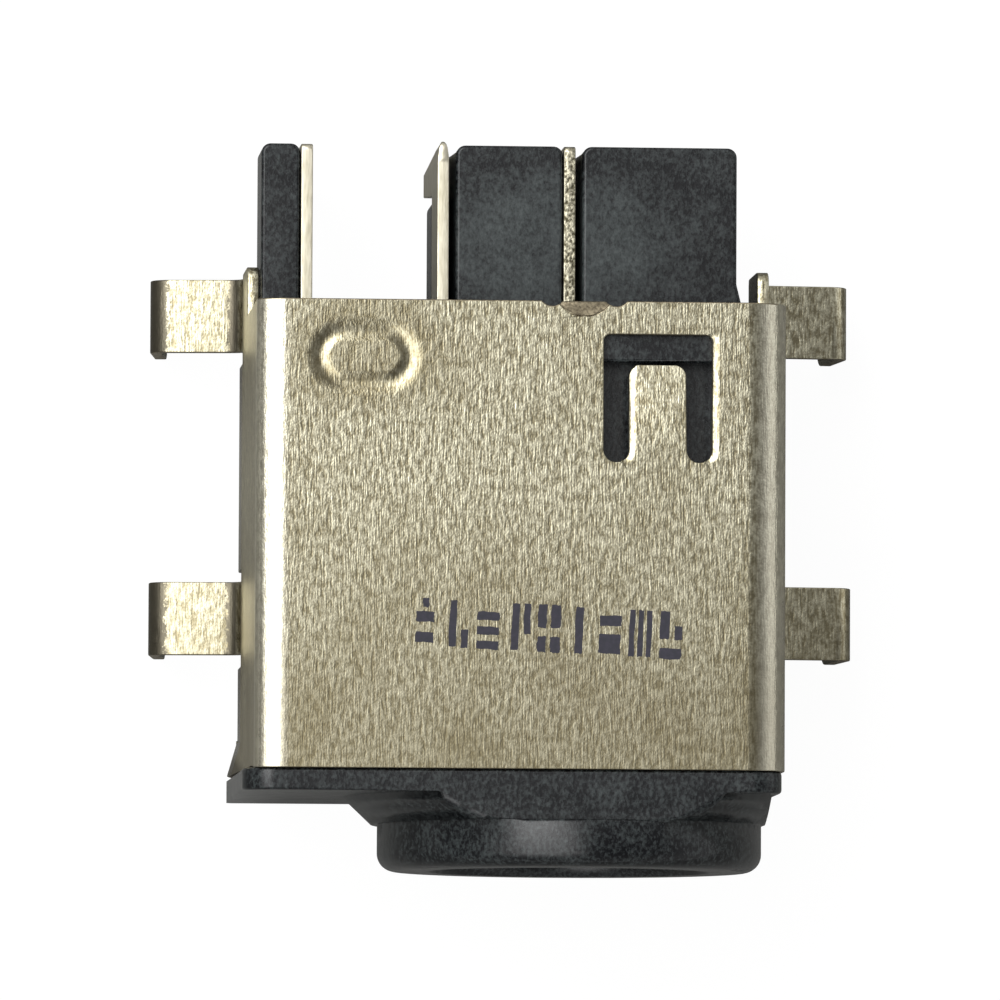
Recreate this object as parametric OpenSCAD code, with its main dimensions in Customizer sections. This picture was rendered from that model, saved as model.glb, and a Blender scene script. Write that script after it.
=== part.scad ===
// Board-mount barrel jack: a moulded housing in a folded shield shell, with a centre pin
// and three stamped contacts.
// Lengths are in millimetres. Z = 0 is the board's upper face, Y = 0 is the mouth of the
// shell and X = 0 is the shell's midline. The plug enters towards +Y, the tail is at +Y.

/* [Shield shell] */
// Outside width of the folded shell
shell_w = 13.2; // [12.6:0.1:15]
// Length of the top plate, from the mouth to its rear edge
shell_l = 11.6; // [11.2:0.1:14]
// Height of the top plate's outer face above the board
top_h = 8.4; // [8:0.1:9.6]
// Depth that the side walls reach below the board's upper face
sink = 0.8; // [0.5:0.1:1.2]
// Thickness of the shell's sheet
sheet = 0.3; // [0.2:0.05:0.35]
// Outside radius of the two long bends
bend_r = 0.78; // [0.6:0.02:1.1]
// Height of the ears' upper edge above the board
ear_h = 3; // [2.4:0.1:3.6]
// Corner radius of the ears
ear_r = 0.35; // [0.1:0.05:0.6]
// Length of an ear behind its leg
ear_back = 0.12; // [0.1:0.02:0.4]
// Length of the wall corner that the flange spreads
flare_l = 1; // [0.6:0.1:1.6]

/* [Shell legs] */
// Width of a leg
leg_w = 1.85; // [1.2:0.05:2.2]
// Distance between the front and the rear legs
leg_pitch = 7.7; // [6.5:0.1:8.5]
// Distance of the rear legs' centre line behind the top plate
leg_back = 0.2; // [0:0.05:0.6]
// Reach of a leg beyond the wall
leg_reach = 2.35; // [1.8:0.05:3]
// Depth that the leg tips reach below the board's upper face
leg_drop = 2.4; // [1.8:0.1:3.2]
// Radius in the corner between wall and leg
root_r = 0.4; // [0.25:0.05:0.6]
// Outside radius of the bend at a leg's outer end
toe_r = 0.5; // [0.45:0.05:0.8]
// Width of the relief notch on each side of a leg
relief = 0.3; // [0.15:0.05:0.45]
// Corner radius of the leg tips
tip_r = 0.4; // [0.1:0.05:0.55]

/* [Retention tongue] */
// Distance of the window's centre line from the shell's midline
window_x = 3.33; // [2.4:0.1:4]
// Width of the window
window_w = 2.7; // [2.2:0.1:3.2]
// Length of the window, with the round ends of its slots
window_l = 3.17; // [2.6:0.05:3.6]
// Strip of sheet between the window and the rear edge
window_gap = 0.82; // [0.6:0.05:1.2]
// Corner radius at the window's rear end
window_r = 0.17; // [0.05:0.01:0.3]
// Width of the tongue
tongue_w = 1.43; // [1:0.05:1.7]
// Distance from the window's rear edge to the tongue's tip
tongue_gap = 0.72; // [0.5:0.05:1]
// Corner radius of the tongue's tip
tongue_r = 0.28; // [0.1:0.02:0.45]
// Angle that the tongue dips into the housing
tongue_dip = 6; // [3:0.5:8]
// Depth of the pocket under the tongue
pocket_h = 0.9; // [0.7:0.05:1.4]
// Gap between the pocket and the window's sides
pocket_gap = 0.05; // [0.02:0.01:0.1]

/* [Break-off tab] */
// Distance of the tab's centre line from the shell's midline
tab_x = 1.5; // [-2:0.1:2.5]
// Distance between the two notches beside the tab
tab_w = 1.6; // [1.2:0.1:2]
// Radius of a notch
notch_r = 0.32; // [0.2:0.02:0.4]
// Depth of a notch
notch_h = 0.13; // [0.08:0.01:0.18]
// Length of the scored bevel on the tab
score_l = 0.38; // [0.2:0.02:0.5]
// Slope of the scored bevel
score_a = 18; // [10:1:25]

/* [Housing] */
// Gap between the housing and the shell
fit = 0.03; // [0.02:0.01:0.05]
// Thickness of the flange in front of the shell
flange_t = 0.55; // [0.4:0.05:0.9]
// Reach of the flange beyond the left wall
flange_spread = 0.28; // [0.2:0.02:0.4]
// Distance of the flange's right-hand end inside the right wall
flange_inset = 0.09; // [0:0.01:0.2]
// Distance of the flange's top below the shell's top
flange_step = 0.1; // [0.05:0.05:0.25]
// Distance of the core's rear face ahead of the top plate's rear edge
core_back = 0.2; // [0.1:0.05:0.4]
// Radius on the lower edges of the housing
edge_r = 0.2; // [0.1:0.02:0.3]

/* [Nose] */
// Distance of the plug's axis from the shell's midline
axis_x = 1.52; // [1.2:0.02:1.6]
// Height of the plug's axis above the board
axis_h = 3.8; // [3.7:0.1:4.2]
// Diameter of the nose
nose_d = 9.64; // [9.2:0.02:9.8]
// Length of the nose and collar in front of the flange
nose_l = 1.85; // [1.6:0.05:4]
// Radius on the front edge of the nose
nose_r = 0.45; // [0.2:0.05:0.7]
// Length of the conical collar
collar_l = 0.68; // [0.4:0.02:0.9]
// Diameter of the collar where it meets the flange
collar_d = 11.4; // [10.4:0.1:12]
// Diameter of the collar where it meets the nose
collar_tip_d = 9.96; // [9.9:0.02:10.1]
// Diameter of the plug bore
bore_d = 6.4; // [6:0.1:6.6]
// Depth of the plug bore
bore_l = 9.2; // [8.8:0.1:9.6]
// Chamfer on the mouth of the bore
bore_chamfer = 0.35; // [0.1:0.05:0.5]

/* [Centre pin] */
// Diameter of the centre pin
pin_d = 2.5; // [1.9:0.1:2.6]
// Diameter of the pin's shank, which is pressed into the housing
shank_d = 3; // [2.8:0.1:3.4]
// Distance of the pin's tip behind the front of the nose
pin_recess = 0.6; // [0.2:0.1:1.5]
// Thickness of the housing wall that holds the pin
web_t = 1.4; // [1:0.1:1.6]
// Length of the shank's slotted end behind that wall
pin_tail = 1.4; // [1:0.1:1.6]
// Radius on the pin's tip
pin_tip_r = 0.7; // [0.3:0.05:0.9]
// Length that the centre terminal's head shows behind the shank
head_l = 0.6; // [0.4:0.1:1]

/* [Tail] */
// Length of the tail behind the top plate
tail_l = 4.35; // [3.8:0.05:5.2]
// Height of the tail's upper face above the board
tail_h = 3.2; // [2.8:0.05:3.4]
// Height of the ledge that the contacts lie on
ledge_h = 1.1; // [0.9:0.05:1.4]
// Length of the lower tail behind the top plate
keel_l = 3.2; // [2.6:0.05:3.6]
// Distance of the right block's side inside the core's side
block_inset = 0.51; // [0.4:0.01:0.8]
// Flare of the right block where it leaves the shell
block_flare = 0.22; // [0.1:0.02:0.25]
// Length of that flare behind the top plate
flare_back = 0.9; // [0.5:0.1:1.4]
// Gap between a blade and the block on its right
block_gap = 0.18; // [0.1:0.02:0.3]
// Width of the left rib
rib_w = 0.98; // [0.8:0.02:1.1]
// Radius on the tail's upright rear edges
tail_r = 0.24; // [0.1:0.02:0.3]

/* [Contacts] */
// Thickness of the contact strip
strip = 0.3; // [0.2:0.02:0.32]
// Gap between a contact and the walls of its slot
slot_fit = 0.02; // [0.01:0.01:0.03]
// Distance of the sleeve contact's left-hand face outside the wall of the bore
sleeve_set = 0.15; // [0.1:0.01:0.25]
// Radius on the upper rear edge of a blade
blade_r = 0.15; // [0.1:0.01:0.3]
// Radius on the corners of a blade's head
head_r = 0.35; // [0.2:0.05:0.5]
// Length of a head behind the elbow of a spring contact
elbow_l = 1.5; // [1.2:0.1:2]
// Width of the contact arms
arm_w = 1.8; // [1.2:0.1:2]
// Diameter of the plug's barrel
plug_d = 5.5; // [5.3:0.1:5.6]
// Travel of the sleeve contact when the plug goes in
sleeve_travel = 0.15; // [0.1:0.01:0.2]
// Distance of the sleeve contact's crown behind the mouth of the shell
crown_y = 3.4; // [3:0.1:4]
// Outside bend radius of the sleeve contact's crown
crown_r = 1; // [0.8:0.1:1.4]
// Length of the sleeve contact's lead-in
lead_l = 1.5; // [1:0.1:1.6]
// Slope of the sleeve contact's lead-in
lead_a = 22; // [15:1:30]
// Open gap between the sleeve contact and the switch contact
switch_gap = 0.35; // [0.25:0.05:0.45]
// Distance of the switch contact's crown behind the mouth of the shell
switch_y = 5.2; // [4.8:0.1:5.6]
// Outside bend radius of the switch contact's crown
switch_r = 0.8; // [0.6:0.1:1]
// Length of the switch contact's turned-up tip
switch_tip_l = 0.5; // [0.3:0.1:0.7]
// Slope of the switch contact's turned-up tip
switch_tip_a = 40; // [30:2:50]
// Depth that the contact pins reach below the board's upper face
pin_drop = 2.2; // [1.8:0.1:3]
// Width of a contact pin where it leaves the blade
pin_w = 1.1; // [0.8:0.05:1.2]
// Width of a contact pin at its tip
pin_tip_w = 0.6; // [0.4:0.05:0.75]

/* [Hidden] */
$fn = 64;
// Overrun of a cutting tool past the face that it cuts
over = 0.5;
// Segments of the nose's and collar's rounds, and steps along a contact's crown
round_fn = 96;
crown_steps = 12;
wall_x = shell_w / 2;
rear_leg_y = shell_l + leg_back;
front_leg_y = rear_leg_y - leg_pitch;
ear_end = rear_leg_y + leg_w / 2 + ear_back;
leg_end = wall_x + leg_reach;
root_h = sheet + root_r;
window_rear = shell_l - window_gap;
slot_w = (window_w - tongue_w) / 2;
tongue_root = window_rear - window_l + slot_w / 2;
tongue_tip = window_rear - tongue_gap;
core_side = wall_x - sheet - fit;
core_top = top_h - sheet - fit;
core_end = shell_l - core_back;
flange_top = top_h - flange_step;
flange_left = wall_x + flange_spread;
nose_front = flange_t + nose_l;
bore_end = bore_l - nose_front;
web_end = bore_end + web_t;
pin_end = web_end + pin_tail;
tail_end = shell_l + tail_l;
keel_end = shell_l + keel_l;
// Room above, below and in front of the contact arms
play = 0.2;
slot_bottom = web_end + play;
arm_low = axis_h - arm_w / 2;
arm_high = axis_h + arm_w / 2;
// Middle planes of the three contact blades
centre_mid = axis_x;
sleeve_left = axis_x - bore_d / 2 - sleeve_set;
sleeve_mid = sleeve_left + strip / 2;
rib_right = -core_side + rib_w;
switch_mid = rib_right + slot_fit + strip / 2;
// Sides of the plastic between the blades
mid_left = sleeve_mid + strip / 2 + block_gap;
mid_right = centre_mid - strip / 2 - slot_fit;
block_left = centre_mid + strip / 2 + block_gap;
block_right = core_side - block_inset;
// Elbows of the spring contacts: distance behind the pin's wall, and from one to the other
elbow_gap = 0.1;
elbow_step = 0.4;
// Sleeve contact: its crown stands inside the barrel's path by the travel
sleeve_elbow = web_end + elbow_gap;
sleeve_crown = [axis_x - plug_d / 2 + sleeve_travel, crown_y];
sleeve_lean = lean(sleeve_crown, crown_r, [sleeve_mid, sleeve_elbow]);
// Switch contact: its crown stands behind the sleeve contact's arm by the open gap
switch_elbow = sleeve_elbow + elbow_step;
sleeve_back = sleeve_mid + (sleeve_elbow - switch_y) * tan(sleeve_lean) - strip / 2 / cos(sleeve_lean);
switch_crown = [sleeve_back - switch_gap, switch_y];
// Space beside the sleeve contact's arm, on its left
arm_room = 0.6;
// Thickness of the wall between the two blades on the left
divider = 0.4;

steel = "#b5ae98";
plastic = "#2b2d2f";
tin = "#d8d3bf";

// Angle of an arm that leaves a crown of outside radius r and ends in an elbow
function lean(crown, r, elbow) =
    let (d = elbow - crown + [r, 0])
    atan2(d.y, d.x) - acos((r - strip / 2) / norm(d));

function polar(r, a) = r * [cos(a), sin(a)];

// Extrudes a shape drawn in X and Z along Y
module along_y(y, l) {
    translate([0, y + l, 0])
        rotate([90, 0, 0])
            linear_extrude(l)
                children();
}

// Extrudes a shape drawn in Y and Z along X
module along_x(x, l) {
    translate([x, 0, 0])
        rotate([90, 0, 90])
            linear_extrude(l)
                children();
}

// Extrudes a shape drawn in X and Y upwards
module along_z(z, l) {
    translate([0, 0, z])
        linear_extrude(l)
            children();
}

// Rectangle from corner p to corner q. r holds its corner radii, anticlockwise from p
module plate(p, q, r = [0, 0, 0, 0]) {
    corners = [[p.x, p.y, 1, 1], [q.x, p.y, -1, 1], [q.x, q.y, -1, -1], [p.x, q.y, 1, -1]];
    lap = 0.01;
    difference() {
        translate(p)
            square([q.x - p.x, q.y - p.y]);
        for (i = [0:3])
            if (r[i] > 0)
                translate([corners[i][0], corners[i][1]])
                    difference() {
                        translate([corners[i][2], corners[i][3]] * (r[i] - lap) / 2)
                            square(r[i] + lap, center = true);
                        translate([corners[i][2], corners[i][3]] * r[i])
                            circle(r[i]);
                    }
    }
}

// Mirrors its children to the left for side = -1
module on_side(side) {
    mirror([side < 0 ? 1 : 0, 0, 0])
        children();
}

// ---- Shield shell ----

// Section of the folded sheet: top plate, two bends and two walls
module fold_section() {
    difference() {
        plate([-wall_x, -sink], [wall_x, top_h], [0, 0, bend_r, bend_r]);
        plate(
            [-wall_x + sheet, -sink - over],
            [wall_x - sheet, top_h - sheet],
            [0, 0, bend_r - sheet, bend_r - sheet]
        );
    }
}

// Ear behind the top plate, which carries the rear leg
module ear() {
    along_x(wall_x - sheet, sheet)
        plate([shell_l - over, -sink], [ear_end, ear_h], [0, 0, ear_r, 0]);
}

// Section of a right-hand leg: up into the wall, out and down
module leg_section() {
    toe_x = leg_end - toe_r;
    translate([wall_x - sheet, root_h])
        square([sheet, over]);
    translate([wall_x + root_r, root_h])
        intersection() {
            difference() {
                circle(root_r + sheet);
                circle(root_r);
            }
            translate([-root_r - sheet, -root_r - sheet])
                square(root_r + sheet);
        }
    translate([wall_x + root_r, 0])
        square([toe_x - wall_x - root_r, sheet]);
    translate([toe_x, sheet - toe_r])
        intersection() {
            difference() {
                circle(toe_r);
                circle(toe_r - sheet);
            }
            square(toe_r);
        }
    translate([leg_end - sheet, -leg_drop])
        square([sheet, leg_drop + sheet - toe_r]);
}

// Leg centred at y, with a rounded tip
module leg(y) {
    intersection() {
        along_y(y - leg_w / 2, leg_w)
            leg_section();
        along_x(wall_x - sheet, leg_end)
            plate([y - leg_w / 2, -leg_drop], [y + leg_w / 2, top_h], [tip_r, tip_r, 0, 0]);
    }
}

// Cut that frees a leg from the wall below its bend, with a notch on each side
module leg_relief(y) {
    cut_w = leg_w + 2 * relief;
    along_x(wall_x - sheet - over, sheet + 2 * over)
        plate([y - cut_w / 2, -sink - over], [y + cut_w / 2, root_h]);
}

// Window in the top plate, with the tongue's place still open
module window_outline() {
    plate(
        [window_x - window_w / 2, tongue_root],
        [window_x + window_w / 2, window_rear],
        [0, 0, window_r, window_r]
    );
    for (side = [-1, 1])
        translate([window_x + side * (tongue_w + slot_w) / 2, tongue_root])
            circle(slot_w / 2);
}

// Tongue, joined at the mouth side and dipping towards the tail
module tongue() {
    translate([window_x, tongue_root, top_h])
        rotate([-tongue_dip, 0, 0])
            along_z(-sheet, sheet)
                plate(
                    [-tongue_w / 2, 0],
                    [tongue_w / 2, tongue_tip - tongue_root],
                    [0, 0, tongue_r, tongue_r]
                );
}

// Notches and scored bevel where the shell was broken off its carrier
module break_off() {
    for (side = [-1, 1])
        translate([tab_x + side * tab_w / 2, shell_l - notch_h + notch_r, top_h - sheet - over])
            cylinder(r = notch_r, h = sheet + 2 * over);
    translate([tab_x, shell_l - score_l, top_h])
        rotate([-score_a, 0, 0])
            translate([0, tab_w / 2, 0])
                cylinder(r = tab_w / 2, h = over);
}

// Lower front corner of the left wall, as a triangle in Y and Z
module flare_outline(extra) {
    polygon([
        [0, top_h - bend_r],
        [flare_l, -sink],
        [flare_l, -sink - extra],
        [-extra, -sink - extra],
        [-extra, top_h - bend_r]
    ]);
}

// That corner turned out about its crease, so that it meets the end of the flange
module flare() {
    rise = top_h - bend_r + sink;
    reach = flare_l * rise / norm([flare_l, rise]);
    turn = asin((flange_left - wall_x) / reach);
    hinge = [-wall_x + sheet, 0, top_h - bend_r];
    translate(hinge)
        rotate(a = turn, v = [0, flare_l, -rise])
            translate(-hinge)
                along_x(-wall_x, sheet)
                    flare_outline(0);
}

module shield_shell() color(steel) {
    difference() {
        union() {
            along_y(0, shell_l)
                fold_section();
            for (side = [-1, 1])
                on_side(side)
                    ear();
        }
        for (side = [-1, 1])
            for (y = [front_leg_y, rear_leg_y])
                on_side(side)
                    leg_relief(y);
        along_z(top_h - sheet - over, sheet + 2 * over)
            window_outline();
        break_off();
        along_x(-wall_x - over, sheet + over)
            flare_outline(over);
    }
    for (side = [-1, 1])
        for (y = [front_leg_y, rear_leg_y])
            on_side(side)
                leg(y);
    tongue();
    flare();
}

// ---- Housing ----

// Turns a profile of radius and distance in front of the shell about the plug's axis
module about_axis() {
    translate([axis_x, 0, axis_h])
        rotate([90, 0, 0])
            rotate_extrude($fn = round_fn)
                children();
}

module collar() {
    intersection() {
        about_axis()
            polygon([
                [0, 0],
                [collar_d / 2, 0],
                [collar_d / 2, flange_t],
                [collar_tip_d / 2, flange_t + collar_l],
                [0, flange_t + collar_l]
            ]);
        along_y(-nose_front, nose_front)
            plate([-flange_left, -sink], [axis_x + nose_d / 2, flange_top]);
    }
}

module nose() {
    about_axis()
        plate([0, flange_t + collar_l], [nose_d / 2, nose_front], [0, 0, nose_r, 0]);
}

module flange() {
    along_y(-flange_t, flange_t)
        plate(
            [-flange_left, -sink],
            [wall_x - flange_inset, flange_top],
            [edge_r, edge_r, bend_r, bend_r]
        );
}

module core() {
    core_r = bend_r - sheet;
    along_y(0, core_end)
        plate([-core_side, -sink], [core_side, core_top], [edge_r, edge_r, core_r, core_r]);
}

// Plastic behind the core: left rib, middle block, right block and the keel under them
module tail() {
    along_z(ledge_h, tail_h - ledge_h) {
        for (sides = [[-core_side, rib_right], [mid_left, mid_right], [block_left, block_right]])
            plate([sides[0], core_end - over], [sides[1], tail_end], [0, 0, tail_r, tail_r]);
        polygon([
            [block_right - over, core_end - over],
            [block_right + block_flare, core_end - over],
            [block_right + block_flare, shell_l],
            [block_right, shell_l + flare_back],
            [block_right - over, shell_l + flare_back]
        ]);
    }
    along_z(-sink, ledge_h + sink)
        plate([sleeve_left, core_end - over], [block_right, keel_end], [0, 0, tail_r, tail_r]);
}

// Bore for the plug, with a chamfered mouth
module plug_bore() {
    about_axis()
        polygon([
            [0, -bore_end],
            [bore_d / 2, -bore_end],
            [bore_d / 2, nose_front - bore_chamfer],
            [bore_d / 2 + bore_chamfer, nose_front],
            [bore_d / 2 + bore_chamfer, nose_front + over],
            [0, nose_front + over]
        ]);
}

// Hole that holds the shank of the centre pin
module pin_hole() {
    translate([axis_x, pin_end + slot_fit, axis_h])
        rotate([90, 0, 0])
            cylinder(d = shank_d, h = pin_end + slot_fit - bore_end + over);
}

// Slot for a blade whose middle plane is at x, open at the tail
module blade_slot(x, front) {
    width = strip + 2 * slot_fit;
    along_x(x - width / 2, width)
        plate([front, ledge_h], [tail_end + over, arm_high + slot_fit]);
}

// Cavity that the contact arms move in, open to the bore and to the tail
module arm_cavity() {
    sleeve_front = crown_y - crown_r * sin(lead_a) - lead_l - play;
    switch_front = switch_y - switch_r * sin(switch_tip_a) - switch_tip_l - play;
    along_z(arm_low - play, arm_w + 2 * play) {
        plate([sleeve_left - arm_room, sleeve_front], [axis_x - bore_d / 2 + over, sleeve_elbow + play]);
        plate([rib_right, switch_front], [sleeve_left - divider, core_end + over]);
    }
}

// Pocket in the top that the shell's tongue snaps into
module tongue_pocket() {
    along_z(core_top - pocket_h, pocket_h + over)
        plate(
            [window_x - window_w / 2 - pocket_gap, tongue_root - over],
            [window_x + window_w / 2 + pocket_gap, tongue_tip + pocket_gap]
        );
}

module housing() color(plastic) {
    difference() {
        union() {
            core();
            flange();
            collar();
            nose();
            tail();
        }
        plug_bore();
        pin_hole();
        blade_slot(centre_mid, web_end + slot_fit);
        blade_slot(sleeve_mid, sleeve_elbow - slot_fit);
        blade_slot(switch_mid, switch_elbow - play);
        arm_cavity();
        tongue_pocket();
    }
}

// ---- Centre pin and contacts ----

// Turned pin with a rounded tip and a thicker shank, slotted to grip the centre terminal
module centre_pin() color(tin) {
    front = nose_front - pin_recess;
    difference() {
        about_axis() {
            plate([0, -bore_end - over], [pin_d / 2, front], [0, 0, pin_tip_r, 0]);
            plate([0, -pin_end], [shank_d / 2, -bore_end]);
        }
        along_x(centre_mid - strip / 2, strip)
            plate([slot_bottom, axis_h - shank_d], [pin_end + over, axis_h + shank_d]);
    }
}

// Blade of a contact in Y and Z: body on the ledge, head at the front, pin at the tail
module blade_outline(front, head_end) {
    pin_front = tail_end - pin_w;
    taper = (pin_w - pin_tip_w) / 2;
    plate([front, ledge_h], [tail_end, tail_h], [0, 0, blade_r, 0]);
    plate([front, ledge_h], [head_end, arm_high], [0, 0, head_r, 0]);
    polygon([
        [pin_front, ledge_h + over],
        [pin_front, ledge_h],
        [pin_front + taper, -pin_drop],
        [tail_end - taper, -pin_drop],
        [tail_end, ledge_h],
        [tail_end, ledge_h + over]
    ]);
}

// Plan of a bent strip: tip, round crown, straight arm, elbow and straight blade
module bent_strip(crown, r, elbow, tip_l, tip_a) {
    arm_a = lean(crown, r, elbow);
    function side(d) = concat(
        [polar(r + d, -tip_a) + polar(tip_l, -tip_a - 90)],
        [for (i = [0:crown_steps]) polar(r + d, (arm_a + tip_a) * i / crown_steps - tip_a)],
        [
            elbow - crown + [r + d + strip / 2, (d + strip / 2) * tan(arm_a / 2)],
            [elbow.x - crown.x + r + d + strip / 2, tail_end + over - crown.y]
        ]
    );
    back = side(-strip);
    translate(crown - [r, 0])
        polygon(concat(side(0), [for (i = [len(back) - 1:-1:0]) back[i]]));
}

// Stamped and bent contact: a spring arm that ends in an upright blade
module spring_contact(crown, r, elbow, tip_l, tip_a) {
    intersection() {
        along_z(-pin_drop - over, arm_high + pin_drop + 2 * over)
            bent_strip(crown, r, elbow, tip_l, tip_a);
        along_x(-core_side, core_side + axis_x) {
            plate([crown.y - r - tip_l, arm_low], [elbow.y + strip + over, arm_high]);
            blade_outline(elbow.y + strip, elbow.y + elbow_l);
        }
    }
}

module centre_terminal() color(tin) {
    along_x(centre_mid - strip / 2, strip)
        blade_outline(slot_bottom, pin_end + head_l);
}

module sleeve_contact() color(tin) {
    spring_contact(sleeve_crown, crown_r, [sleeve_mid, sleeve_elbow], lead_l, lead_a);
}

module switch_contact() color(tin) {
    spring_contact(switch_crown, switch_r, [switch_mid, switch_elbow], switch_tip_l, switch_tip_a);
}

shield_shell();
housing();
centre_pin();
centre_terminal();
sleeve_contact();
switch_contact();
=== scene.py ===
import math

import bmesh
import bpy
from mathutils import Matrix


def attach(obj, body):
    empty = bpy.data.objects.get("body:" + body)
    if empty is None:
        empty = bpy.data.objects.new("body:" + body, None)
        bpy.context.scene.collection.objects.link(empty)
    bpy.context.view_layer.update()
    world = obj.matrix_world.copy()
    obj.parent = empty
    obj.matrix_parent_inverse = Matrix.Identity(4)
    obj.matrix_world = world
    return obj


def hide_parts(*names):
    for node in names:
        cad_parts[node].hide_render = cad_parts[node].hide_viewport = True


mm = 0.001
hair = 0.001  # in mm, shorter than any edge of the part
straight = 0.9  # a normal with this much of one axis points along it

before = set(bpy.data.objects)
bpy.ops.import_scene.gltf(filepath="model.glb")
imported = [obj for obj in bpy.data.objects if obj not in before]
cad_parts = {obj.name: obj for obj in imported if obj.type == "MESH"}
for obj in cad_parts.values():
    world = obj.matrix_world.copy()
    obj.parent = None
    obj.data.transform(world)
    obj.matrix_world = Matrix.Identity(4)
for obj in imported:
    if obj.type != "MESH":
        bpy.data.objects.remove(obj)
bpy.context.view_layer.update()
bpy.ops.object.select_all(action="DESELECT")
print("frame loaded")


def srgb(hexText):
    # hex colour as painted on screen, turned to the linear values that shaders use
    parts = [int(hexText[i:i + 2], 16) / 255 for i in (1, 3, 5)]
    return [c / 12.92 if c <= 0.04045 else ((c + 0.055) / 1.055) ** 2.4 for c in parts] + [1]


def addNode(tree, kind, settings=None, links=None):
    # adds a node, sets its properties or input values, and joins its inputs to other nodes' outputs
    node = tree.nodes.new(kind)
    for name, value in (settings or {}).items():
        if isinstance(name, str) and hasattr(node, name):
            setattr(node, name, value)
        else:
            node.inputs[name].default_value = value
    for name, source in (links or {}).items():
        tree.links.new(source, node.inputs[name])
    return node


def newMaterial(name):
    material = bpy.data.materials.new(name)
    material.use_nodes = True
    tree = material.node_tree
    tree.nodes.clear()
    shader = addNode(tree, "ShaderNodeBsdfPrincipled")
    addNode(tree, "ShaderNodeOutputMaterial", links={"Surface": shader.outputs[0]})
    return material, shader


def grainPattern(tree, size, detail, roughness=0.5):
    # noise in spots of the given size, in mm along each axis
    place = addNode(tree, "ShaderNodeTexCoord").outputs["Object"]
    spot = addNode(
        tree, "ShaderNodeMapping", {"vector_type": "TEXTURE", "Scale": [s * mm for s in size]}, {0: place}
    )
    settings = {"Scale": 1, "Detail": detail, "Roughness": roughness}
    return addNode(tree, "ShaderNodeTexNoise", settings, {0: spot.outputs[0]}).outputs[0]


def softPatch(tree, middle, reach):
    # one patch, 1 in its middle and 0 at its reach, both in mm
    place = addNode(tree, "ShaderNodeTexCoord").outputs["Object"]
    settings = {
        "vector_type": "TEXTURE",
        "Location": [m * mm for m in middle],
        "Scale": [r * mm for r in reach],
    }
    spot = addNode(tree, "ShaderNodeMapping", settings, {0: place})
    ball = addNode(tree, "ShaderNodeTexGradient", {"gradient_type": "SPHERICAL"}, {0: spot.outputs[0]})
    return ball.outputs[1]


# Cold-rolled steel strip, nickel plated before it was stamped: a warm grey with an olive cast. The
# rolls leave flecks along the strip, 0.05 mm wide and 0.4 mm long, and each one leans a little, so
# that it catches the lamp or misses it. The end by the mouth is painted darker, and its flecks are
# shallower
shieldLook = {
    "dull": "#8b836a",
    "pale": "#cdc8b0",
    "stain": "#81775b",
    "paintedHighlightTone": "#e6e2d2",
    "paintedLegShade": "#625d50",
    "fleck": (0.045, 0.38, 0.045),  # all sizes and places are in mm
    "patch": (0.14, 0.22, 0.14),
    "speck": (0.05, 0.06, 0.05),
    "cloud": (1.7, 2.8, 1.7),
    "fleckShare": 0.85,
    "speckShare": 0.6,
    "grainLevels": (1.02, 1.43),  # where the grain starts to turn pale, and where it is fully pale
    "fleckDepth": 0.006,
    "handledDepth": 0.55,  # share of the flecks' depth that handling leaves
    "mouthDarkening": 0.5,  # share of the stain's tone at the mouth, around the mark and in the clouds
    "heldDown": 0.45,
    "clouded": 0.35,
    "cloudLevels": (0.45, 0.75),
    "struck": (-3.94, 10.3, 8.4),  # the die held the sheet down around the mark
    "struckReach": (2.6, 1.75, 1.0),
    "struckLevels": (0.05, 0.4),
    "paintedBendHighlight": 0.45,  # painted highlight: the two long bends are painted paler, so that the glint on them reads whiter
    "roughness": (0.13, 0.22),
    "patchLevels": (0.35, 0.65),
    "wallRoughness": 0.24,  # added on the walls, which the bending tool wiped
    "legShadeRoughness": 0.2,
    "flatMiddle": -7.73,  # painted shade: the bends beside the left legs' flats are painted dark, and the flats are kept clear
    "flatHalf": (0.72, 0.8),
    "ragged": 0.3,
    # each zone starts at the first place and is full at the second; side is the distance from the
    # midline, either way
    "zones": {
        "awayFromMouth": ("y", 0.5, 7.0),
        "bend": ("side", 5.75, 5.98),
        "top": ("z", 7.5, 7.9),
        "wall": ("side", 6.45, 6.58),
        "aboveLegs": ("z", 0.45, 0.7),
        "leftLegs": ("x", -6.66, -6.74),
        "legTops": ("z", -0.9, -0.5),
    },
}


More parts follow.
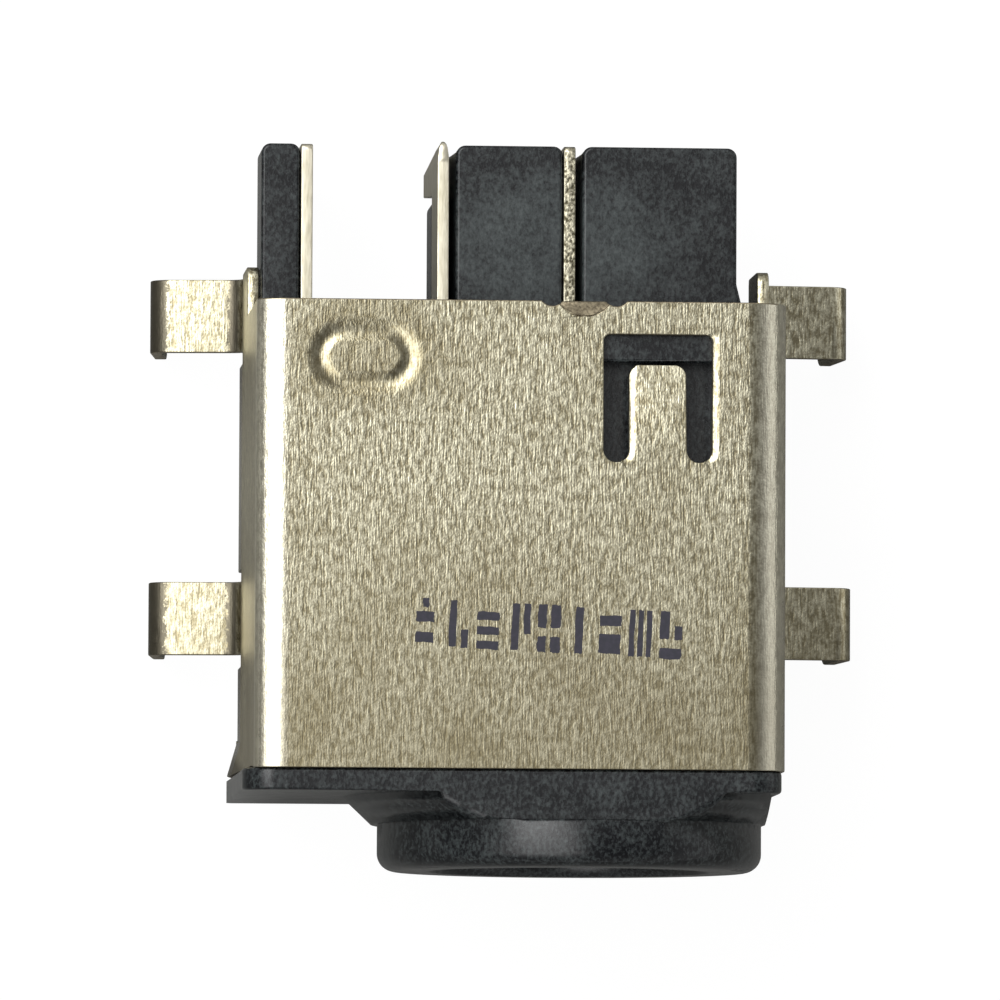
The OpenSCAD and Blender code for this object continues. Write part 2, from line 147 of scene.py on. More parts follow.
def nickelPlatedSteel():
    look = shieldLook
    material, shader = newMaterial("nickelPlatedRolledSteel")
    tree = material.node_tree
    fleck = grainPattern(tree, look["fleck"], 1)
    patch = grainPattern(tree, look["patch"], 3)
    speck = grainPattern(tree, look["speck"], 1)
    cloud = grainPattern(tree, look["cloud"], 3)
    settings = {"operation": "MULTIPLY_ADD", 1: look["speckShare"]}
    rough = addNode(tree, "ShaderNodeMath", settings, {0: speck, 2: patch}).outputs[0]
    settings = {"operation": "MULTIPLY_ADD", 1: look["fleckShare"]}
    grain = addNode(tree, "ShaderNodeMath", settings, {0: fleck, 2: rough}).outputs[0]

    place = addNode(tree, "ShaderNodeTexCoord").outputs["Object"]
    axes = addNode(tree, "ShaderNodeSeparateXYZ", links={0: place}).outputs
    side = addNode(tree, "ShaderNodeMath", {"operation": "ABSOLUTE"}, {0: axes[0]}).outputs[0]
    along = {"x": axes[0], "y": axes[1], "z": axes[2], "side": side}
    zone = {}
    for name, (axis, start, full) in look["zones"].items():
        settings = {"From Min": start * mm, "From Max": full * mm}
        zone[name] = addNode(tree, "ShaderNodeMapRange", settings, {0: along[axis]}).outputs[0]

    # darker towards the mouth, where the die held it down, and in stray clouds
    low, high = look["struckLevels"]
    struck = softPatch(tree, look["struck"], look["struckReach"])
    struck = addNode(tree, "ShaderNodeMapRange", {"From Min": low, "From Max": high}, {0: struck}).outputs[0]
    settings = {"To Min": look["mouthDarkening"], "To Max": 0}
    darkeningShare = addNode(tree, "ShaderNodeMapRange", settings, {0: zone["awayFromMouth"]}).outputs[0]
    settings = {"operation": "MULTIPLY_ADD", 1: look["heldDown"]}
    darkeningShare = addNode(tree, "ShaderNodeMath", settings, {0: struck, 2: darkeningShare}).outputs[0]
    low, high = look["cloudLevels"]
    settings = {"From Min": low, "From Max": high, "To Max": look["clouded"]}
    stain = addNode(tree, "ShaderNodeMapRange", settings, {0: cloud}).outputs[0]
    settings = {"operation": "ADD", "use_clamp": True}
    darkeningShare = addNode(tree, "ShaderNodeMath", settings, {0: darkeningShare, 1: stain}).outputs[0]

    # painted highlight: the tops of the two long bends are painted paler
    links = {0: zone["bend"], 1: zone["top"]}
    paintedBendHighlight = addNode(tree, "ShaderNodeMath", {"operation": "MULTIPLY"}, links).outputs[0]
    settings = {"operation": "MULTIPLY", 1: look["paintedBendHighlight"]}
    paintedBendHighlight = addNode(tree, "ShaderNodeMath", settings, {0: paintedBendHighlight}).outputs[0]

    # the painted leg shade ends in a ragged line, and the grain's mean is taken off again
    settings = {"operation": "MULTIPLY_ADD", 1: look["ragged"] * mm}
    fromFlat = addNode(tree, "ShaderNodeMath", settings, {0: rough, 2: axes[0]}).outputs[0]
    middle = look["flatMiddle"] + look["ragged"] * (1 + look["speckShare"]) / 2
    settings = {"operation": "SUBTRACT", 1: middle * mm}
    fromFlat = addNode(tree, "ShaderNodeMath", settings, {0: fromFlat}).outputs[0]
    fromFlat = addNode(tree, "ShaderNodeMath", {"operation": "ABSOLUTE"}, {0: fromFlat}).outputs[0]
    near, far = look["flatHalf"]
    settings = {"From Min": near * mm, "From Max": far * mm}
    paintedLegShade = addNode(tree, "ShaderNodeMapRange", settings, {0: fromFlat}).outputs[0]
    for part in ("leftLegs", "legTops"):
        links = {0: paintedLegShade, 1: zone[part]}
        paintedLegShade = addNode(tree, "ShaderNodeMath", {"operation": "MULTIPLY"}, links).outputs[0]

    low, high = look["grainLevels"]
    level = addNode(tree, "ShaderNodeMapRange", {"From Min": low, "From Max": high}, {0: grain}).outputs[0]
    settings = {"data_type": "RGBA", 6: srgb(look["dull"]), 7: srgb(look["pale"])}
    base = addNode(tree, "ShaderNodeMix", settings, {0: level}).outputs[2]
    # the stain, the painted bend highlight and the painted leg shade are laid over the grain's tone
    for tone, share in (("stain", darkeningShare), ("paintedHighlightTone", paintedBendHighlight), ("paintedLegShade", paintedLegShade)):
        settings = {"data_type": "RGBA", 7: srgb(look[tone])}
        base = addNode(tree, "ShaderNodeMix", settings, {0: share, 6: base}).outputs[2]
    tree.links.new(base, shader.inputs["Base Color"])
    shader.inputs["Metallic"].default_value = 1

    low, high = look["patchLevels"]
    smooth, matt = look["roughness"]
    settings = {"From Min": low, "From Max": high, "To Min": smooth, "To Max": matt}
    gloss = addNode(tree, "ShaderNodeMapRange", settings, {0: patch}).outputs[0]
    links = {0: zone["wall"], 1: zone["aboveLegs"]}
    wiped = addNode(tree, "ShaderNodeMath", {"operation": "MULTIPLY"}, links).outputs[0]
    for added, share in (("wallRoughness", wiped), ("legShadeRoughness", paintedLegShade)):
        settings = {"operation": "MULTIPLY_ADD", 1: look[added]}
        gloss = addNode(tree, "ShaderNodeMath", settings, {0: share, 2: gloss}).outputs[0]
    tree.links.new(gloss, shader.inputs["Roughness"])

    settings = {"To Min": look["handledDepth"], "To Max": 1}
    depth = addNode(tree, "ShaderNodeMapRange", settings, {0: zone["awayFromMouth"]}).outputs[0]
    links = {"Strength": depth, "Height": grain}
    bump = addNode(tree, "ShaderNodeBump", {"Distance": look["fleckDepth"] * mm}, links)
    tree.links.new(bump.outputs[0], shader.inputs["Normal"])
    return material


# Glass-filled nylon, moulded in a spark-eroded tool: near black with a blue-green cast, and a grain
# of glass ends that dulls it unevenly. The ends are finer than this and are drawn coarse to show
nylonLook = {
    "dark": "#040508",
    "pale": "#484e4e",
    "grain": (0.09, 0.13, 0.09),
    "grainLevels": (0.34, 0.7),
    "grainTone": 0.7,  # what each pattern adds to the tone, from 0 for dark to 1 for pale
    "cloud": (0.6, 0.9, 0.6),
    "cloudLevels": (0.3, 0.7),
    "cloudTone": (-0.11, 0.14),
    "haze": (1.0, 13.4, 3.2),  # mould release left a pale haze on the blocks
    "hazeReach": (4.0, 2.2, 2.0),
    "hazeFull": 0.5,
    "hazeTone": (-0.18, 0.18),
    "roughness": (0.17, 0.26),
    "ior": 1.53,
    "specular": 0.31,  # the haze takes some of the shine
    "relief": 0.004,
}


def mouldedNylon():
    look = nylonLook
    material, shader = newMaterial("blackMouldedNylon")
    tree = material.node_tree
    grain = grainPattern(tree, look["grain"], 3, 0.7)
    cloud = grainPattern(tree, look["cloud"], 3, 0.7)
    haze = softPatch(tree, look["haze"], look["hazeReach"])
    dim, bright = look["hazeTone"]
    settings = {"From Max": look["hazeFull"], "To Min": dim, "To Max": bright}
    haze = addNode(tree, "ShaderNodeMapRange", settings, {0: haze}).outputs[0]
    low, high = look["cloudLevels"]
    dim, bright = look["cloudTone"]
    settings = {"From Min": low, "From Max": high, "To Min": dim, "To Max": bright}
    level = addNode(tree, "ShaderNodeMapRange", settings, {0: cloud}).outputs[0]
    level = addNode(tree, "ShaderNodeMath", {"operation": "ADD"}, {0: level, 1: haze}).outputs[0]
    fineLow, fineHigh = look["grainLevels"]
    settings = {"From Min": fineLow, "From Max": fineHigh, "To Max": look["grainTone"]}
    fine = addNode(tree, "ShaderNodeMapRange", settings, {0: grain}).outputs[0]
    settings = {"operation": "ADD", "use_clamp": True}
    level = addNode(tree, "ShaderNodeMath", settings, {0: level, 1: fine}).outputs[0]
    settings = {"data_type": "RGBA", 6: srgb(look["dark"]), 7: srgb(look["pale"])}
    base = addNode(tree, "ShaderNodeMix", settings, {0: level})
    tree.links.new(base.outputs[2], shader.inputs["Base Color"])
    smooth, matt = look["roughness"]
    settings = {"From Min": low, "From Max": high, "To Min": smooth, "To Max": matt}
    gloss = addNode(tree, "ShaderNodeMapRange", settings, {0: cloud})
    tree.links.new(gloss.outputs[0], shader.inputs["Roughness"])
    shader.inputs["IOR"].default_value = look["ior"]
    shader.inputs["Specular IOR Level"].default_value = look["specular"]
    bump = addNode(tree, "ShaderNodeBump", {"Distance": look["relief"] * mm}, {"Height": grain})
    tree.links.new(bump.outputs[0], shader.inputs["Normal"])
    return material


# The shield's sheet where the press sheared it: bare steel, torn in short lines, duller and browner
steelCutLook = {
    "name": "shearedBareSteelEdge",
    "dark": "#6e6554",
    "pale": "#a1967e",
    "grain": (0.07, 0.07, 0.16),
    "levels": (0.35, 0.65),
    "metallic": 1,
    "roughness": 0.4,
    "relief": 0.008,
}
# Phosphor bronze strip, matt tin plated: creamy and smoother than the shield
tinLook = {
    "name": "mattTinPlatedBronze",
    "dark": "#bdb6a0",
    "pale": "#ded8c4",
    "grain": (0.06, 0.4, 0.06),
    "levels": (0.3, 0.7),
    "metallic": 1,
    "roughness": 0.3,
    "relief": 0.0015,
}
# The strip's sheared edge, bare bronze dimmed by handling: torn grains of 0.1 mm, some bright
bronzeCutLook = {
    "name": "shearedBronzeEdge",
    "dark": "#544f3e",
    "pale": "#c9c3ac",
    "grain": (0.11, 0.13, 0.11),
    "levels": (0.38, 0.62),
    "metallic": 1,
    "roughness": 0.26,
    "relief": 0.014,
}
# Turned brass, bright nickel plated: fine rings around the pin, too shallow to feel
brassLook = {
    "name": "nickelPlatedTurnedBrass",
    "dark": "#c6bda0",
    "pale": "#ddd4ba",
    "grain": (2, 0.05, 2),
    "levels": (0.3, 0.7),
    "metallic": 1,
    "roughness": 0.22,
}
# Solvent ink from a stamp: blue-black and thin, so that it dried in patches
inkLook = {
    "name": "blueBlackStampInk",
    "dark": "#0b0a1c",
    "pale": "#1c1829",
    "grain": (0.12, 0.12, 0.12),
    "levels": (0.4, 0.7),
    "metallic": 0,
    "roughness": 0.55,
}


def grainedMaterial(look):
    # one grain runs from dark to pale, and gives the surface its relief
    material, shader = newMaterial(look["name"])
    tree = material.node_tree
    grain = grainPattern(tree, look["grain"], 2)
    low, high = look["levels"]
    level = addNode(tree, "ShaderNodeMapRange", {"From Min": low, "From Max": high}, {0: grain})
    settings = {"data_type": "RGBA", 6: srgb(look["dark"]), 7: srgb(look["pale"])}
    base = addNode(tree, "ShaderNodeMix", settings, {0: level.outputs[0]})
    tree.links.new(base.outputs[2], shader.inputs["Base Color"])
    shader.inputs["Metallic"].default_value = look["metallic"]
    shader.inputs["Roughness"].default_value = look["roughness"]
    if "relief" in look:
        bump = addNode(tree, "ShaderNodeBump", {"Distance": look["relief"] * mm}, {"Height": grain})
        tree.links.new(bump.outputs[0], shader.inputs["Normal"])
    return material


steelSkin = nickelPlatedSteel()
steelCut = grainedMaterial(steelCutLook)
nylon = mouldedNylon()
tinSkin = grainedMaterial(tinLook)
bronzeCut = grainedMaterial(bronzeCutLook)
brassSkin = grainedMaterial(brassLook)
ink = grainedMaterial(inkLook)
print("materials made")

weld = {"within": 0.0005, "flatWithin": 0.5}  # points this close merge, faces this even join


def selectOnly(obj):
    bpy.ops.object.select_all(action="DESELECT")
    obj.select_set(True)
    bpy.context.view_layer.objects.active = obj


def weldedCopy(nodeName, pieceName):
    # the solid's own mesh, with its loose triangles welded to plain faces
    piece = bpy.data.objects.new(pieceName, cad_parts[nodeName].data.copy())
    bpy.context.scene.collection.objects.link(piece)
    piece.data.materials.clear()
    selectOnly(piece)
    bpy.ops.object.mode_set(mode="EDIT")
    bpy.ops.mesh.select_all(action="SELECT")
    bpy.ops.mesh.remove_doubles(threshold=weld["within"] * mm)
    bpy.ops.mesh.dissolve_limited(angle_limit=math.radians(weld["flatWithin"]))
    bpy.ops.object.mode_set(mode="OBJECT")
    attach(piece, "root")
    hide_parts(nodeName)
    return piece


def breakEdges(piece, finish):
    # sharp edges broken as the tooling leaves them
    selectOnly(piece)
    bevel = piece.modifiers.new("brokenEdges", "BEVEL")
    bevel.width = finish["edge"] * mm
    bevel.segments = 2
    bevel.use_clamp_overlap = False
    bevel.limit_method = "ANGLE"
    bevel.angle_limit = math.radians(finish["sharp"])
    bevel.miter_outer = "MITER_ARC"
    bpy.ops.object.modifier_apply(modifier=bevel.name)


def evenShading(piece, finish):
    # rounded parts shaded smooth, with the flats beside them kept flat
    selectOnly(piece)
    bpy.ops.object.shade_smooth_by_angle(angle=math.radians(finish["sharp"]))
    evened = piece.modifiers.new("evenedNormals", "WEIGHTED_NORMAL")
    evened.keep_sharp = True
    evened.weight = 100
    bpy.ops.object.modifier_apply(modifier=evened.name)
    for layer in list(piece.data.uv_layers):
        piece.data.uv_layers.remove(layer)


shieldFinish = {
    "edge": 0.03,
    "sharp": 40,
    # sizes that the solid has too: half the shell's width, the top's height, the sheet, the bends'
    # outer radius, and the window's left, right, front and rear
    "half": 6.6,
    "top": 8.4,
    "sheet": 0.3,
    "bend": 0.78,
    "window": (1.9, 4.8, 7.5, 10.95),
    "plateFrom": 8.0,  # above this is only the top plate
    # the bends as struck, left and right: side, where the crown starts, its radius, and the angle
    # at which it runs into a tighter corner
    "crowns": ((-1, 5.87, 1.18, 27), (1, 5.56, 1.04, 88)),
    "roll": (0.2, 0.055),  # width and depth of the window's edges that the punch rolled over
    "rollFade": 0.3,  # the roll is gone where the way across it points this little to the left
    "rollGain": 1.3,  # and it is full a little before that way points straight to the left
    "legFrom": 6.98,
    "legDroop": 6,  # the legs spring back a little, so their flats slope outwards
    "longLeg": 0.12,
    "longLegAt": (8, 7),  # to the right of the first and in front of the second
    "brokenFrom": 11.2,  # the strip of carrier was snapped off behind this
}
shield = weldedCopy("shield_shell", "shield")
centre = shieldFinish["half"] - shieldFinish["bend"]
for side, start, crown, turnTo in shieldFinish["crowns"]:
    turnTo = math.radians(turnTo)
    corner = (shieldFinish["half"] - start - crown * math.sin(turnTo)) / (1 - math.sin(turnTo))
    for vert in shield.data.vertices:
        out = side * vert.co.x / mm - centre
        up = vert.co.z / mm - (shieldFinish["top"] - shieldFinish["bend"])
        if out > -hair and up > -hair:
            turn = math.atan2(out, up)
            inset = shieldFinish["bend"] - math.hypot(out, up)
            radius, x, z = crown, start, shieldFinish["top"] - crown
            if turn > turnTo:
                x += (crown - corner) * math.sin(turnTo)
                z += (crown - corner) * math.cos(turnTo)
                radius = corner
            vert.co.x = side * (x + (radius - inset) * math.sin(turn)) * mm
            vert.co.z = (z + (radius - inset) * math.cos(turn)) * mm
print("bends crowned")

# a plain oval dish with a low boss in it, coined into the top plate
dish = {
    "x": -3.94,
    "y": 10.18,
    "wide": 2.95,
    "long": 2.0,
    "punch": 0.2,
    "steps": ((0.26, 0.13), (0.26, 0), (0.12, -0.08)),  # each step's width and depth
}
plateTop = shieldFinish["top"] * mm
bpy.ops.object.select_all(action="DESELECT")
bpy.ops.mesh.primitive_cylinder_add(
    vertices=96,
    radius=dish["long"] / 2 * mm,
    depth=dish["punch"] * mm,
    location=(dish["x"] * mm, dish["y"] * mm, plateTop + dish["punch"] / 2 * mm),
)
punch = bpy.context.object
punch.name = "dishPunch"
bpy.ops.object.transform_apply(location=True, rotation=True, scale=True)
bpy.ops.object.mode_set(mode="EDIT")
mesh = bmesh.from_edit_mesh(punch.data)
for side in (-1, 1):  # two half rounds with a straight part between them
    for vert in mesh.verts:
        vert.select_set(side * (vert.co.x - dish["x"] * mm) > hair * mm)
    mesh.select_flush_mode()
    bmesh.update_edit_mesh(punch.data)
    bpy.ops.transform.translate(value=(side * (dish["wide"] - dish["long"]) / 2 * mm, 0, 0))
bpy.ops.mesh.select_all(action="DESELECT")
for face in mesh.faces:
    face.select_set(face.normal.z < -straight)
bmesh.update_edit_mesh(punch.data)
for width, depth in dish["steps"]:
    bpy.ops.mesh.inset(thickness=width * mm, depth=depth * mm)
bpy.ops.object.mode_set(mode="OBJECT")
selectOnly(shield)
coining = shield.modifiers.new("coinedDish", "BOOLEAN")
coining.operation = "DIFFERENCE"
coining.solver = "EXACT"
coining.object = punch
bpy.ops.object.modifier_apply(modifier=coining.name)
bpy.data.objects.remove(punch)
print("dish coined")

# the window's edges that face left are rolled over
selectOnly(shield)
bpy.ops.object.mode_set(mode="EDIT")
mesh = bmesh.from_edit_mesh(shield.data)
bpy.ops.mesh.select_mode(type="EDGE")
bpy.ops.mesh.select_all(action="DESELECT")
left, right, low, high = [v * mm for v in shieldFinish["window"]]
plateFrom = shieldFinish["plateFrom"] * mm
for edge in mesh.edges:
    middle = (edge.verts[0].co + edge.verts[1].co) / 2
    inside = left < middle.x < right and low < middle.y < high and middle.z > plateFrom
    upper = max(face.normal.z for face in edge.link_faces) > straight
    upright = min(abs(face.normal.z) for face in edge.link_faces) < 0.4
    facesLeft = min(face.normal.x for face in edge.link_faces) < -0.3
    if inside and upper and upright and facesLeft:
        edge.select = True
bmesh.update_edit_mesh(shield.data)
rollWidth, rollDepth = [v * mm for v in shieldFinish["roll"]]
fade = shieldFinish["rollFade"]
bpy.ops.mesh.bevel(offset=rollWidth, segments=1, affect="EDGES")
mesh = bmesh.from_edit_mesh(shield.data)
# the bevel leaves its sloping faces selected, and some of the upright ones beside them
rolled = {face for face in mesh.faces if face.select and 0.3 < face.normal.z < straight}
for edge in mesh.edges:
    lower, upper = sorted(edge.verts, key=lambda vert: vert.co.z)
    beside = [face for face in edge.link_faces if face in rolled]
    across = upper.co.xy - lower.co.xy
    if beside and across.length < 2 * rollWidth and upper.co.z - lower.co.z > rollWidth / 2:
        # the roll fades where the edge turns away from the left, and where it ends
        share = max(abs(across.x) / max(across.length, 0.1 * rollWidth) - fade, 0) / (1 - fade)
        share = min(share * shieldFinish["rollGain"], 1) if len(beside) == 2 else 0
        back = across * (share - 1)
        upper.co.xy += back
        for face in upper.link_faces:
            if face.normal.z > straight:  # it stays in the sheet's upper face
                upper.co.z -= face.normal.xy.dot(back) / face.normal.z
                break
        lower.co.z = upper.co.z - rollDepth * share
bmesh.update_edit_mesh(shield.data)
bpy.ops.mesh.select_mode(type="VERT")
bpy.ops.mesh.select_all(action="SELECT")
bpy.ops.mesh.remove_doubles(threshold=weld["within"] * mm)
bpy.ops.mesh.dissolve_degenerate(threshold=weld["within"] * mm)
bpy.ops.mesh.select_all(action="DESELECT")
bpy.ops.object.mode_set(mode="OBJECT")
breakEdges(shield, shieldFinish)
evenShading(shield, shieldFinish)

# the legs droop, and the right front one stands out a little further
bpy.ops.object.mode_set(mode="EDIT")
mesh = bmesh.from_edit_mesh(shield.data)
for side in (-1, 1):
    for vert in mesh.verts:
        vert.select_set(side * vert.co.x > shieldFinish["legFrom"] * mm)
    mesh.select_flush_mode()
    bmesh.update_edit_mesh(shield.data)
    bpy.ops.transform.rotate(
        value=-side * math.radians(shieldFinish["legDroop"]),
        orient_axis="Y",
        center_override=(side * shieldFinish["legFrom"] * mm, 0, shieldFinish["sheet"] / 2 * mm),
    )
rightOf, frontOf = [v * mm for v in shieldFinish["longLegAt"]]
for vert in mesh.verts:
    vert.select_set(vert.co.x > rightOf and vert.co.y < frontOf)
mesh.select_flush_mode()
bmesh.update_edit_mesh(shield.data)
bpy.ops.transform.translate(value=(shieldFinish["longLeg"] * mm, 0, 0))
bpy.ops.mesh.select_all(action="DESELECT")
bpy.ops.object.mode_set(mode="OBJECT")
shield.data.materials.append(steelSkin)
shield.data.materials.append(steelCut)
brokenFrom = shieldFinish["brokenFrom"] * mm
for face in shield.data.polygons:
    broken = face.normal.y > 0.2 and face.center.y > brokenFrom and face.center.z > plateFrom
    if abs(face.normal.y) > straight or broken:
        face.material_index = 1
print("shield dressed")

# a row of plain inked bars and boxes where a date stamp goes
inkRow = {
    "x": -2.68,
    "y": 3.02,
    "pitch": 0.755,
    "turn": 2.6,  # the stamp was put down a little askew
    "tall": 1.2,
    "lift": 0.002,
    "film": 0.006,
    "cuts": 7,
    "ragged": 0.022,
    "seed": 5,
}
inkCells = [  # boxes as (left, right, low, high) in shares of a cell
    [(0.0, 0.62, 0.08, 0.3), (0.0, 0.62, 0.5, 0.72), (0.2, 0.42, 0.8, 1.0)],
    [(0.1, 0.34, 0.0, 1.0), (0.5, 0.74, 0.0, 0.4)],
    [(0.0, 0.76, 0.0, 0.18), (0.0, 0.76, 0.3, 0.48), (0.0, 0.76, 0.6, 0.78)],
    [(0.14, 0.4, 0.0, 1.0), (0.54, 0.76, 0.35, 1.0)],
    [(0.0, 0.3, 0.0, 0.34), (0.42, 0.76, 0.0, 0.34), (0.0, 0.3, 0.5, 1.0), (0.42, 0.76, 0.5, 1.0)],
    [(0.22, 0.5, 0.0, 1.0)],
    [(0.0, 0.76, 0.04, 0.46), (0.0, 0.76, 0.62, 0.84)],
    [(0.0, 0.2, 0.0, 1.0), (0.29, 0.48, 0.0, 1.0), (0.57, 0.76, 0.0, 1.0)],
    [(0.0, 0.76, 0.0, 0.24), (0.0, 0.34, 0.4, 1.0), (0.5, 0.76, 0.4, 0.7)],
]
inkBoxes = []
for cell, boxes in enumerate(inkCells):
    for low, high, bottom, top in boxes:
        across = inkRow["x"] + inkRow["pitch"] * (cell + (low + high) / 2)
        up = (bottom + top) / 2 * inkRow["tall"]
        bpy.ops.mesh.primitive_plane_add(size=mm, location=(across * mm, up * mm, 0))
        box = bpy.context.object
        box.scale = ((high - low) * inkRow["pitch"], (top - bottom) * inkRow["tall"], 1)
        inkBoxes.append(box)
bpy.ops.object.select_all(action="DESELECT")
for box in inkBoxes:
    box.select_set(True)
bpy.context.view_layer.objects.active = inkBoxes[0]
bpy.ops.object.transform_apply(location=True, rotation=True, scale=True)
bpy.ops.object.join()
stamp = bpy.context.object
stamp.name = "inkStamp"
bpy.ops.object.mode_set(mode="EDIT")
bpy.ops.mesh.select_all(action="SELECT")
bpy.ops.mesh.subdivide(number_cuts=inkRow["cuts"])
bpy.ops.transform.vertex_random(
    offset=inkRow["ragged"] * mm, uniform=1.0, normal=0.0, seed=inkRow["seed"]
)
bpy.ops.transform.resize(value=(1, 1, 0), center_override=(0, 0, 0))  # ragged in its plane only
bpy.ops.mesh.vertices_smooth(factor=0.5, repeat=1)
bpy.ops.mesh.extrude_region_move(TRANSFORM_OT_translate={"value": (0, 0, inkRow["film"] * mm)})
bpy.ops.mesh.select_all(action="SELECT")
bpy.ops.mesh.normals_make_consistent(inside=False)
bpy.ops.transform.rotate(
    value=math.radians(inkRow["turn"]), orient_axis="Z", center_override=(inkRow["x"] * mm, 0, 0)
)
bpy.ops.transform.translate(value=(0, inkRow["y"] * mm, plateTop + inkRow["lift"] * mm))
bpy.ops.object.mode_set(mode="OBJECT")
stamp.data.materials.append(ink)
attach(stamp, "root")
print("ink stamped")

housingFinish = {
    "edge": 0.09,
    "segments": 3,
    "square": 60,  # only edges at least this steep are rounded
    "sharp": 35,
    "low": -0.6,  # edges below this sit in the board and stay as they are
    "coneSide": (6, -1),  # the cone runs out here and has no edge to round
    "blockSides": (-1.35, 1.85),  # left-hand sides of the middle and the right block
    "blocksFrom": 11.3,
    "ledge": 1.1,
    "draft": 0.15,  # the blocks' feet come closer to the blades than their tops
    "within": 0.02,
}
housing = weldedCopy("housing", "mouldedHousing")
for vert in housing.data.vertices:
    for side in housingFinish["blockSides"]:
        onSide = abs(vert.co.x / mm - side) < housingFinish["within"]
        onLedge = abs(vert.co.z / mm - housingFinish["ledge"]) < housingFinish["within"]
        if onSide and onLedge and vert.co.y > housingFinish["blocksFrom"] * mm:
            vert.co.x -= housingFinish["draft"] * mm
selectOnly(housing)
bpy.ops.object.mode_set(mode="EDIT")
bpy.ops.mesh.select_mode(type="EDGE")
bpy.ops.mesh.select_all(action="DESELECT")
mesh = bmesh.from_edit_mesh(housing.data)
coneX, coneY = housingFinish["coneSide"]
for edge in mesh.edges:
    ends = [v.co / mm for v in edge.verts]
    square = edge.is_convex and edge.calc_face_angle(0) > math.radians(housingFinish["square"])
    onCone = max(end.x for end in ends) > coneX and min(end.y for end in ends) < coneY
    edge.select = square and not onCone and min(end.z for end in ends) > housingFinish["low"]
bmesh.update_edit_mesh(housing.data)
bpy.ops.mesh.bevel(
    offset=housingFinish["edge"] * mm, segments=housingFinish["segments"], affect="EDGES"
)
bpy.ops.mesh.select_mode(type="VERT")
bpy.ops.object.mode_set(mode="OBJECT")
evenShading(housing, housingFinish)
housing.data.materials.append(nylon)
print("housing dressed")

contactFinish = {
    "edge": 0.03,
    "sharp": 40,
    "pointFrom": 15.5,  # the plated blade's head is ground to a rounded point over this stretch
    "pointTo": 15.96,
    "pointCuts": 7,
    "longer": 0.1,
    "headFrom": 1.05,
}
for nodeName, pieceName, sheared, pointed in (
    ("centre_terminal", "centreTerminal", True, False),
    ("sleeve_contact", "sleeveContact", False, True),  # plated after cutting, with a pointed end
    ("switch_contact", "switchContact", False, False),
):
    contact = weldedCopy(nodeName, pieceName)
    if pointed:
        bpy.ops.object.mode_set(mode="EDIT")
        start, cuts = contactFinish["pointFrom"], contactFinish["pointCuts"]
        stretch = contactFinish["pointTo"] - start
        for cut in range(cuts):
            bpy.ops.mesh.select_all(action="SELECT")
            along = (start + stretch * math.sin(math.pi / 2 * cut / cuts)) * mm
            bpy.ops.mesh.bisect(plane_co=(0, along, 0), plane_no=(0, 1, 0))
        bpy.ops.object.mode_set(mode="OBJECT")
        headFrom = contactFinish["headFrom"] * mm
        head = [v for v in contact.data.vertices if v.co.y > start * mm and v.co.z > headFrom]
        middle = (max(v.co.x for v in head) + min(v.co.x for v in head)) / 2
        for vert in head:
            share = min((vert.co.y / mm - start) / stretch, 1)
            vert.co.x = middle + (vert.co.x - middle) * math.sqrt(1 - share * share)
            vert.co.y += contactFinish["longer"] * share * mm
    breakEdges(contact, contactFinish)
    evenShading(contact, contactFinish)
    contact.data.materials.append(tinSkin)
    contact.data.materials.append(bronzeCut)
    for face in contact.data.polygons:
        if sheared and abs(face.normal.x) < 0.8:  # all but the strip's two plated faces
            face.material_index = 1
print("contacts dressed")

pinFinish = {"edge": 0.04, "sharp": 40}
pin = weldedCopy("centre_pin", "centrePin")
breakEdges(pin, pinFinish)
evenShading(pin, pinFinish)
pin.data.materials.append(brassSkin)
print("pin dressed")

studio = {
    "floorZ": -2.7,
    "floorSize": 3.0,
    "floorTone": "#c8c8c6",
    "whiteShare": 0.88,  # the rest of the floor's look is its own, and keeps the shadow
    "white": 1.1,
    "cardZ": -2.45,
    "cardSize": 0.3,
    "cardTone": "#757573",
    "matt": 0.9,
    "lampReach": (0.55, 0.9),  # how far the lamp reaches to the front and back, as a sine
    "roomSide": 0.55,
    "lampTilt": {"From Min": -0.05, "From Max": 0.25, "To Min": 0.76, "To Max": 1.35},
    "peak": 4.6,
    # light by angle from straight up, in degrees, left to right: a soft box on the left, a dim
    # ceiling, and a pale wall on the right
    "sky": (
        (-180, 0.15), (-112, 0.2), (-92, 0.2), (-76, 0.35), (-58, 0.5), (-50, 0.95), (-44, 2.0),
        (-38, 3.2), (-30, 4.2), (-24, 4.6), (-16, 4.6), (-10, 3.3), (-5, 2.4), (0, 1.45), (4, 0.92),
        (8, 0.48), (16, 0.34), (45, 0.34), (57, 0.5), (66, 0.75), (72, 0.9), (112, 0.95), (125, 0.5),
        (180, 0.15),
    ),
}

bpy.ops.object.select_all(action="DESELECT")
bpy.ops.mesh.primitive_plane_add(size=studio["floorSize"], location=(0, 0, studio["floorZ"] * mm))
floor = bpy.context.object
floor.name = "floor"
floorPaint, shader = newMaterial("paleStudioFloor")
shader.inputs["Base Color"].default_value = srgb(studio["floorTone"])
shader.inputs["Roughness"].default_value = studio["matt"]
tree = floorPaint.node_tree
rays = addNode(tree, "ShaderNodeLightPath").outputs
links = {0: rays["Is Camera Ray"], 1: rays["Is Glossy Ray"]}
seen = addNode(tree, "ShaderNodeMath", {"operation": "ADD"}, links).outputs[0]
links = {0: seen, 1: rays["Is Transmission Ray"]}
seen = addNode(tree, "ShaderNodeMath", {"operation": "ADD", "use_clamp": True}, links).outputs[0]
settings = {"operation": "MULTIPLY", 1: studio["whiteShare"]}
seen = addNode(tree, "ShaderNodeMath", settings, {0: seen}).outputs[0]
settings = {"Color": srgb("#ffffff"), "Strength": studio["white"]}
white = addNode(tree, "ShaderNodeEmission", settings)
links = {0: seen, 1: shader.outputs[0], 2: white.outputs[0]}
blend = addNode(tree, "ShaderNodeMixShader", links=links)
tree.links.new(blend.outputs[0], tree.nodes["Material Output"].inputs["Surface"])
floor.data.materials.append(floorPaint)

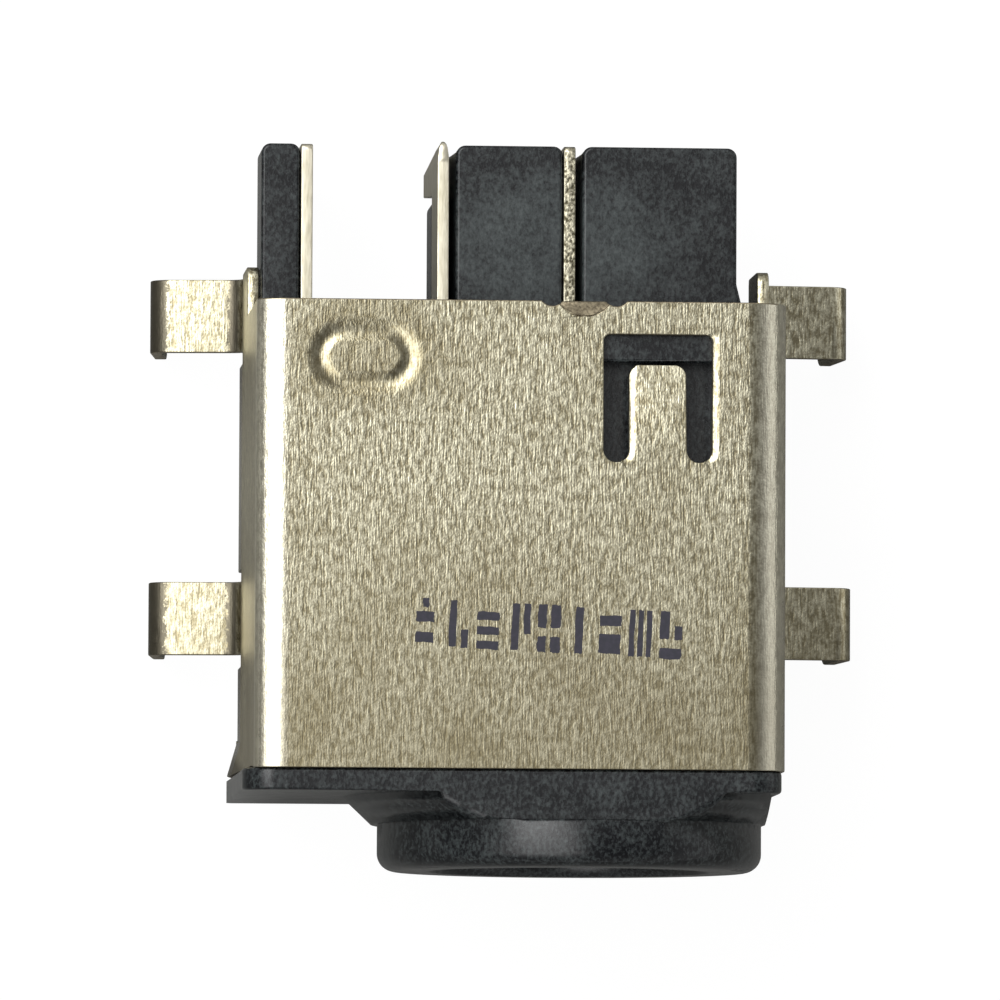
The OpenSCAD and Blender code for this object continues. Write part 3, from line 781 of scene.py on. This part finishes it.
# a grey card under the part keeps the walls' and legs' mirror images dark; the camera looks past it
bpy.ops.mesh.primitive_plane_add(size=studio["cardSize"], location=(0, 0, studio["cardZ"] * mm))
card = bpy.context.object
card.name = "greyCard"
cardPaint, shader = newMaterial("mattGreyCard")
shader.inputs["Base Color"].default_value = srgb(studio["cardTone"])
shader.inputs["Roughness"].default_value = studio["matt"]
card.data.materials.append(cardPaint)
card.visible_camera = False
card.visible_shadow = False

world = bpy.data.worlds.new("studioRoom")
bpy.context.scene.world = world
world.use_nodes = True
room = world.node_tree
room.nodes.clear()
outwards = addNode(room, "ShaderNodeTexCoord").outputs["Generated"]
axes = addNode(room, "ShaderNodeSeparateXYZ", links={0: outwards}).outputs
links = {0: axes[0], 1: axes[2]}
angle = addNode(room, "ShaderNodeMath", {"operation": "ARCTAN2"}, links).outputs[0]
settings = {"From Min": -math.pi, "From Max": math.pi}
angle = addNode(room, "ShaderNodeMapRange", settings, {0: angle}).outputs[0]
sky = addNode(room, "ShaderNodeValToRGB", links={0: angle})
stops = sky.color_ramp.elements
while len(stops) < len(studio["sky"]):
    stops.new(0.5)
for stop, (degrees, light) in zip(stops, studio["sky"]):
    stop.position = (degrees + 180) / 360
    stop.color = [light / studio["peak"]] * 3 + [1]
aside = addNode(room, "ShaderNodeMath", {"operation": "ABSOLUTE"}, {0: axes[1]}).outputs[0]
near, far = studio["lampReach"]
aside = addNode(room, "ShaderNodeMapRange", {"From Min": near, "From Max": far}, {0: aside}).outputs[0]
settings = {3: studio["roomSide"] / studio["peak"]}
level = addNode(room, "ShaderNodeMix", settings, {0: aside, 2: sky.outputs[0]}).outputs[0]
settings = {"operation": "MULTIPLY", 1: studio["peak"]}
level = addNode(room, "ShaderNodeMath", settings, {0: level}).outputs[0]
tilt = addNode(room, "ShaderNodeMapRange", studio["lampTilt"], {0: axes[1]}).outputs[0]
level = addNode(room, "ShaderNodeMath", {"operation": "MULTIPLY"}, {0: level, 1: tilt}).outputs[0]
toCamera = addNode(room, "ShaderNodeLightPath").outputs["Is Camera Ray"]
level = addNode(room, "ShaderNodeMix", {3: 1.0}, {0: toCamera, 2: level}).outputs[0]
air = addNode(room, "ShaderNodeBackground", {"Color": srgb("#ffffff")}, {"Strength": level})
addNode(room, "ShaderNodeOutputWorld", links={"Surface": air.outputs[0]})

view = {
    "place": (-19.94, -11.36, 278.6),
    "turn": (0.06602, -0.07183, 0.00457),
    "sensor": 36,
    "lens": 395.6,
    "near": 0.01,
    "far": 10,
}
cameraData = bpy.data.cameras.new("camera")
cameraData.sensor_width = view["sensor"]
cameraData.lens = view["lens"]
cameraData.clip_start = view["near"]
cameraData.clip_end = view["far"]
camera = bpy.data.objects.new("camera", cameraData)
camera.location = [p * mm for p in view["place"]]
camera.rotation_euler = view["turn"]
bpy.context.scene.collection.objects.link(camera)
bpy.context.scene.camera = camera
bpy.context.scene.view_settings.view_transform = "Standard"
print("studio set")
